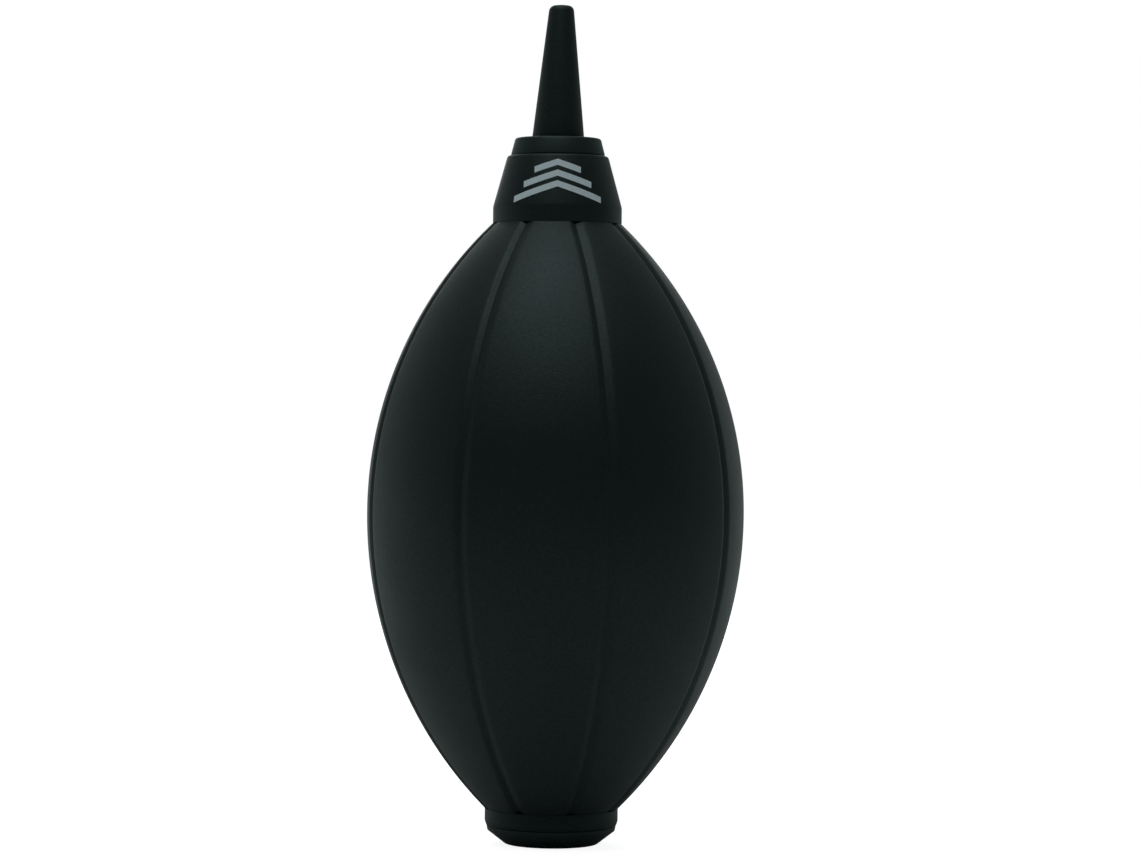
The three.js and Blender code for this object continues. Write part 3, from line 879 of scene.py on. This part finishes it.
def prism(name, points, bottom, top):
    """A straight-sided cutter, its outline and heights in millimetres."""
    made = bmesh.new()
    floor = [made.verts.new((x * MM, y * MM, bottom * MM)) for x, y in points]
    made.faces.new(floor)
    lifted = bmesh.ops.extrude_face_region(made, geom=made.faces[:])
    moved = [v for v in lifted["geom"] if isinstance(v, bmesh.types.BMVert)]
    bmesh.ops.translate(made, verts=moved, vec=(0, 0, (top - bottom) * MM))
    bmesh.ops.recalc_face_normals(made, faces=made.faces[:])
    return place(mesh_of(made, name))


def arc_points(x, radius, start, stop, steps=12):
    """Points along an arc round a middle on the X axis."""
    return [(x + radius * math.cos(t), radius * math.sin(t)) for t in np.linspace(start, stop, steps + 1)]


def cut_openings(piece, cutter, count, material):
    """Cuts a ring of openings in a piece and shades it."""
    if "ring_of_openings" not in bpy.data.node_groups:
        ring_of_openings_tree()
    tree = bpy.data.node_groups["ring_of_openings"]
    with_tree(piece, tree, Cutter=cutter, Count=count, Material=finish(material))
    bpy.data.objects.remove(cutter)
    return finish_mesh(piece, finish(material))


def spoked_cage(name, node, size):
    """A ring with a hub on spokes."""
    piece = turned(name, disc_corners(size.outer, size.bottom, size.top, 0.2))
    wide = math.pi / SPOKES - math.asin(size.spoke / 2 / size.inner)
    narrow = math.pi / SPOKES - math.asin(size.spoke / 2 / size.hub)
    window = [*arc_points(0, size.inner, -wide, wide), *arc_points(0, size.hub, narrow, -narrow, 6)]
    cutter = prism(name + "_cutter", window, size.bottom - PAST, size.top + PAST)
    cut_openings(piece, cutter, SPOKES, "moulded_cap_abs")
    dress(piece, "bulb", node)


# ---------- outlet end ----------


class BLOWER_OT_nozzle(bpy.types.Operator):
    """Moulds the soft conical nozzle with its socket and its bore"""

    bl_idname = "blower.nozzle"
    bl_label = "Nozzle"

    def execute(self, context):
        size = context.scene.blower_fittings
        foot = size.collar_dome / MM + FOOT_GAP
        top = TOP / MM
        cone = turned_piece(
            "nozzle_cone",
            [
                (SOCKET.bore, foot, 0.25),
                (size.nozzle_radius / MM, foot, 0.12),
                (size.tip_radius / MM, top, 1.1),
                (size.tip_bore / MM, top, 0.15),
                (size.tip_bore / MM, top - TIP_LAND, 0),
                (AIR_BORE, SOCKET.funnel_top, 0.3),
                (AIR_BORE, SOCKET.top, 0.1),
                (SOCKET.bore, SOCKET.top, 0.2),
            ],
            "moulded_nozzle_silicone",
            "nozzle",
            "nozzle",
        )
        gripped = SPIGOT.top * MM
        for vertex in cone.data.vertices:
            free = max(0.0, vertex.co.z - gripped) / (TOP - gripped)
            vertex.co.x += size.nozzle_lean * free**LEAN_POWER
        return {"FINISHED"}


class BLOWER_OT_outlet(bpy.types.Operator):
    """Moulds the outlet plug with its collar, its barbed stem and the nozzle's spigot, and fits its valve"""

    bl_idname = "blower.outlet"
    bl_label = "Outlet Plug and Valve"

    def execute(self, context):
        size = context.scene.blower_fittings
        low = size.collar_bottom / MM
        dome = size.collar_dome / MM
        turned_piece(
            "collar_plug",
            [
                (CHAMBER.bore, PLUG.end, 0.2),
                (PLUG.lead_in, PLUG.end, 0.3),
                (PLUG.barb, PLUG.low_barb, 0.1),
                (PLUG.stem, PLUG.low_barb + BARB_STEP, 0.04),
                (PLUG.stem, PLUG.high_barb - PLUG.barb_run, 0.3),
                (PLUG.barb, PLUG.high_barb, 0.1),
                (PLUG.stem, PLUG.high_barb + BARB_STEP, 0.04),
                (PLUG.stem, low, 0.15),
                (size.collar_radius / MM, low, 0.22),
                (size.collar_top_radius / MM, size.collar_top / MM, 0.55),
                (size.nozzle_radius / MM + DOME_FLAT, dome, 0.3),
                (SPIGOT.stem, dome, 0.15),
                (SPIGOT.stem, SPIGOT.barb_bottom, 0.2),
                (SPIGOT.barb, SPIGOT.barb_top, 0.1),
                (SPIGOT.lead_in, SPIGOT.top, 0.15),
                (AIR_BORE, SPIGOT.top, 0.15),
                (AIR_BORE, CHAMBER.top, 0.15),
                (CHAMBER.bore, CHAMBER.top, 0.15),
            ],
            "moulded_plug_abs",
            "bulb",
            "outlet_plug",
        )
        turned_piece(
            "outlet_seat_ring",
            [
                (SEAT.hole, SEAT.bottom, 0.1),
                (SEAT.rim, SEAT.bottom, 0.2),
                (SEAT.rim, SEAT.top, 0.15),
                (SEAT.lip, SEAT.top, 0.1),
                (SEAT.lip, SEAT.lip_top, 0.12),
                (SEAT.hole, SEAT.lip_top, 0.12),
            ],
            "moulded_cap_abs",
            "bulb",
            "outlet_seat",
        )
        flap("outlet_flap_disc", "outlet_flap", OUTLET_FLAP)
        spoked_cage("outlet_flap_cage", "outlet_cage", OUTLET_CAGE)
        return {"FINISHED"}


# ---------- inlet end ----------


class BLOWER_OT_inlet(bpy.types.Operator):
    """Moulds the base cap with its valve body, and fits its grille, filter, flap and cage"""

    bl_idname = "blower.inlet"
    bl_label = "Base Cap and Inlet Valve"

    def execute(self, context):
        size = context.scene.blower_fittings
        height = size.base_height / MM
        base = [
            (WELL, 0, 0.35),
            (size.base_flat_radius / MM, 0, 0.9),
            (size.base_cone_radius / MM, size.base_cone_height / MM, 0.2),
            (size.base_radius / MM, height, 0.1),
            (BARREL.stem, height, 0.1),
            (BARREL.stem, BARREL.low_barb, 0.04),
            (BARREL.barb, BARREL.low_barb + BARB_STEP, 0.1),
            (BARREL.stem, BARREL.high_barb, 0.04),
            (BARREL.barb, BARREL.high_barb + BARB_STEP, 0.1),
            (BARREL.stem, BARREL.barb_end, 0.2),
            (BARREL.stem, BARREL.top, 0.35),
            (CAGE_BORE.bore, BARREL.top, 0.2),
            (CAGE_BORE.bore, CAGE_BORE.ledge, 0.1),
            (WELL, CAGE_BORE.ledge, 0.1),
            (WELL, WEB.top, 0.1),
            (WEB.seat_outer, WEB.top, 0.1),
            (WEB.seat_outer, WEB.seat_top, 0.15),
            (WEB.seat_inner, WEB.seat_top, 0.15),
            (WEB.seat_inner, WEB.top, 0.1),
            (0, WEB.top, 0),
            (0, WEB.bottom, 0),
            (WELL, WEB.bottom, 0.2),
        ]
        body = turned("base_cap", base)
        ring = arc_points(AIR_HOLES.ring, AIR_HOLES.radius, 0, TAU, 24)[:-1]
        hole = prism("air_hole_cutter", ring, WEB.bottom - PAST, WEB.seat_top + PAST)
        cut_openings(body, hole, AIR_HOLES.count, "moulded_cap_abs")
        dress(body, "bulb", "valve_body")

        grille = turned("intake_grille", disc_corners(GRILLE.radius, GRILLE.bottom, GRILLE.top, 0.2))
        quarter = math.pi / 2
        outline = [
            *arc_points(SLOT.outer, SLOT.half_width, -quarter, quarter, 8),
            *arc_points(SLOT.inner, SLOT.half_width, quarter, 3 * quarter, 8),
        ]
        slot = prism("slot_cutter", outline, GRILLE.bottom - PAST, GRILLE.top + PAST)
        cut_openings(grille, slot, size.slots, "moulded_cap_abs")
        dress(grille, "bulb", "inlet_grille")

        turned_piece(
            "foam_filter",
            disc_corners(FILTER.radius, FILTER.bottom, FILTER.top, 0.3),
            "open_cell_filter_foam",
            "bulb",
            "filter_disc",
        )
        flap("inlet_flap_disc", "inlet_flap", INLET_FLAP)
        spoked_cage("inlet_flap_cage", "valve_cage", VALVE_CAGE)
        return {"FINISHED"}


# ---------- printed mark ----------

BAR_STATIONS = np.linspace(-1, 1, 49)  # along the flat bar, as shares of half its width


class BLOWER_OT_mark(bpy.types.Operator):
    """Prints the airflow mark, chevrons that point to the nozzle, on the front of the neck"""

    bl_idname = "blower.mark"
    bl_label = "Printed Mark"

    def execute(self, context):
        mark = context.scene.blower_mark
        size = context.scene.blower_bulb
        half = mark.width / 2
        low, high = mark.rise, mark.rise + mark.stroke
        sunk = -0.05 * MM
        corners = ((low, sunk), (low, mark.thickness), (high, mark.thickness), (high, sunk))
        made = bmesh.new()
        rows = [[made.verts.new((share * half, y, z)) for y, z in corners] for share in BAR_STATIONS]
        for left, right in zip(rows, rows[1:]):
            for k in range(4):
                made.faces.new((left[k], right[k], right[(k + 1) % 4], left[(k + 1) % 4]))
        made.faces.new(rows[0])
        made.faces.new(rows[-1][::-1])
        bmesh.ops.recalc_face_normals(made, faces=made.faces[:])
        slope = math.atan2(size.neck_radius - size.neck_top_radius, size.neck_top - size.neck_shoulder)
        piece = with_tree(
            place(mesh_of(made, "airflow_mark")),
            printed_mark_tree(),
            Count=mark.count,
            Pitch=mark.pitch,
            Taper=mark.taper,
            Turn=mark.turn,
            Slope=slope,
            Material=finish("pad_print_ink"),
            **{
                "Arm Slope": mark.rise / half,
                "Bottom Height": mark.bottom,
                "Bottom Radius": size.neck_radius - (mark.bottom - size.neck_shoulder) * math.tan(slope),
            },
        )
        finish_mesh(piece, finish("pad_print_ink"))
        dress(piece, "bulb")
        return {"FINISHED"}


# ---------- stage ----------

COOL_WHITE = "#E9FAF8"  # the room's walls, and the light that the floor throws back
BACKLIT_WAY = (-0.45, 0.9, 0.0)  # from the blower to where the floor throws back most
BACKLIT_START, BACKLIT_END = 0.05, 0.35  # how far that way its light begins and stops to grow, in metres
BACKLIT_LOW, BACKLIT_HIGH = 0.012, 0.42
FADE_START, FADE_POWER = -0.9, 1.8  # where the room behind the camera starts to grow paler, and how slowly
FLOOR_HALF = 2.5  # half the floor's width in metres
LAMP_TARGET = (0, 0, 0.1)
LAMPS = {  # place and width in metres, and the property that holds the power
    "overhead": ((-0.04, -0.24, 0.78), 0.6, "key"),
    "high_behind": ((-0.12, 0.62, 0.42), 0.5, "rim"),
}


def soft_light(name, spot, width, power):
    """A square soft box that the camera doesn't see."""
    light = bpy.data.lights.new(name, "AREA")
    light.shape, light.size, light.energy = "SQUARE", width, power
    lamp = bpy.data.objects.new(name, light)
    lamp.location = spot
    lamp.rotation_euler = (Vector(LAMP_TARGET) - Vector(spot)).to_track_quat("-Z", "Y").to_euler()
    lamp.visible_camera = False
    bpy.context.scene.collection.objects.link(lamp)


def pale_floor_material():
    """White card under the blower: the camera sees it lit to white.

    It throws only a little light back up, and more of it from behind the blower and to its left.
    """
    made, tree, where = new_material("white_card_floor")
    fibres = add_node(tree, "ShaderNodeTexNoise", {"Vector": where, "Scale": 1 / (3 * MM), "Detail": 3.0})
    shades = {0: fibres, "A": linear("#F0F0F0"), "B": linear("#F8F8F8")}
    card = add_node(tree, "ShaderNodeMix", shades, data_type="RGBA")
    seen = add_node(tree, "ShaderNodeBsdfDiffuse", [card.outputs["Result"]])
    glow = add_node(tree, "ShaderNodeEmission", {"Color": linear("#FFFFFF"), "Strength": 0.9})
    lit = add_node(tree, "ShaderNodeAddShader", [seen, glow])
    reflected = add_node(tree, "ShaderNodeBsdfDiffuse", [linear("#DDE0E0")])
    behind = add_node(tree, "ShaderNodeVectorMath", [where, BACKLIT_WAY], operation="DOT_PRODUCT").outputs["Value"]
    reach = add_node(tree, "ShaderNodeMapRange", [behind, BACKLIT_START, BACKLIT_END, BACKLIT_LOW, BACKLIT_HIGH])
    backlit = add_node(tree, "ShaderNodeEmission", {"Color": linear(COOL_WHITE), "Strength": reach})
    bounce = add_node(tree, "ShaderNodeAddShader", [reflected, backlit])
    ray = add_node(tree, "ShaderNodeLightPath")
    both = add_node(tree, "ShaderNodeMixShader", [ray.outputs["Is Camera Ray"], bounce, lit])
    add_node(tree, "ShaderNodeOutputMaterial", [both])
    return made


def studio_world(stage):
    """White round the camera's view. The object sees a room that is dark in front and paler behind and to the left."""
    world = bpy.data.worlds.new("studio")
    world.use_nodes = True
    tree = world.node_tree
    tree.nodes.clear()
    white = add_node(tree, "ShaderNodeBackground", {"Color": linear("#FFFFFF"), "Strength": 1.0})
    direction = add_node(tree, "ShaderNodeTexCoord").outputs["Generated"]
    axes = add_node(tree, "ShaderNodeSeparateXYZ", [direction])
    backward = add_node(tree, "ShaderNodeMapRange", [axes.outputs["Y"], FADE_START, 1.0])
    curved = add_node(tree, "ShaderNodeMath", [backward, FADE_POWER], operation="POWER")
    depth = add_node(tree, "ShaderNodeMath", [curved, stage.back - stage.front, stage.front], operation="MULTIPLY_ADD")
    side = add_node(tree, "ShaderNodeMapRange", [axes.outputs["X"], -1.0, 1.0, 1.0, stage.right_share])
    level = add_node(tree, "ShaderNodeMath", [depth, side], operation="MULTIPLY")
    room = add_node(tree, "ShaderNodeBackground", {"Color": linear(COOL_WHITE), "Strength": level})
    ray = add_node(tree, "ShaderNodeLightPath")
    both = add_node(tree, "ShaderNodeMixShader", [ray.outputs["Is Camera Ray"], room, white])
    add_node(tree, "ShaderNodeOutputWorld", [both])
    return world


class BLOWER_OT_stage(bpy.types.Operator):
    """Sets the camera, the pale floor and the soft lights"""

    bl_idname = "blower.stage"
    bl_label = "Stage"

    def execute(self, context):
        scene = context.scene
        stage = scene.blower_stage
        turn = stage.camera_turn
        back = Vector((math.sin(turn), -math.cos(turn), 0))
        side = Vector((math.cos(turn), math.sin(turn), 0))
        camera = bpy.data.objects.new("camera", bpy.data.cameras.new("camera"))
        scene.collection.objects.link(camera)
        camera.data.lens = stage.lens
        camera.data.clip_end = 20
        aim = side * stage.aim_side + Vector((0, 0, stage.aim_height))
        camera.location = back * stage.camera_distance + side * stage.aim_side + Vector((0, 0, stage.camera_height))
        look = (aim - camera.location).to_track_quat("-Z", "Y").to_matrix()
        camera.rotation_euler = (look @ Matrix.Rotation(stage.roll, 3, "Z")).to_euler()
        scene.camera = camera

        made = bmesh.new()
        corners = ((-1, -1), (1, -1), (1, 1), (-1, 1))
        made.faces.new([made.verts.new((x * FLOOR_HALF, y * FLOOR_HALF, 0)) for x, y in corners])
        mesh = mesh_of(made, "floor")
        mesh.materials.append(pale_floor_material())
        place(mesh)
        scene.world = studio_world(stage)
        scene.view_settings.view_transform = "Standard"

        for name, (spot, width, power) in LAMPS.items():
            soft_light(name, spot, width, getattr(stage, power))
        return {"FINISHED"}


# ---------- panel, registration and run ----------


class BLOWER_PT_sidebar(bpy.types.Panel):
    """Lists the blower's pieces in the 3D view's sidebar"""

    bl_idname = "BLOWER_PT_sidebar"
    bl_label = "Dust Blower"
    bl_space_type = "VIEW_3D"
    bl_region_type = "UI"
    bl_category = "Blower"

    def draw(self, context):
        for operator in OPERATORS:
            self.layout.operator(operator.bl_idname)
        for group in GROUPS:
            settings = getattr(context.scene, group)
            box = self.layout.box()
            for key in settings.bl_rna.properties.keys():
                if key not in ("rna_type", "name"):
                    box.prop(settings, key)


OPERATORS = (BLOWER_OT_stage, BLOWER_OT_bulb, BLOWER_OT_nozzle, BLOWER_OT_outlet, BLOWER_OT_inlet, BLOWER_OT_mark)


def register():
    for group in GROUPS.values():
        bpy.utils.register_class(group)
    for name, group in GROUPS.items():
        setattr(bpy.types.Scene, name, PointerProperty(type=group))
    for operator in OPERATORS:
        bpy.utils.register_class(operator)
    bpy.utils.register_class(BLOWER_PT_sidebar)


def unregister():
    bpy.utils.unregister_class(BLOWER_PT_sidebar)
    for operator in reversed(OPERATORS):
        bpy.utils.unregister_class(operator)
    for name in GROUPS:
        delattr(bpy.types.Scene, name)
    for group in reversed(GROUPS.values()):
        bpy.utils.unregister_class(group)


def main():
    register()
    for operator in OPERATORS:
        family, action = operator.bl_idname.split(".")
        getattr(getattr(bpy.ops, family), action)()


if __name__ == "__main__":
    main()
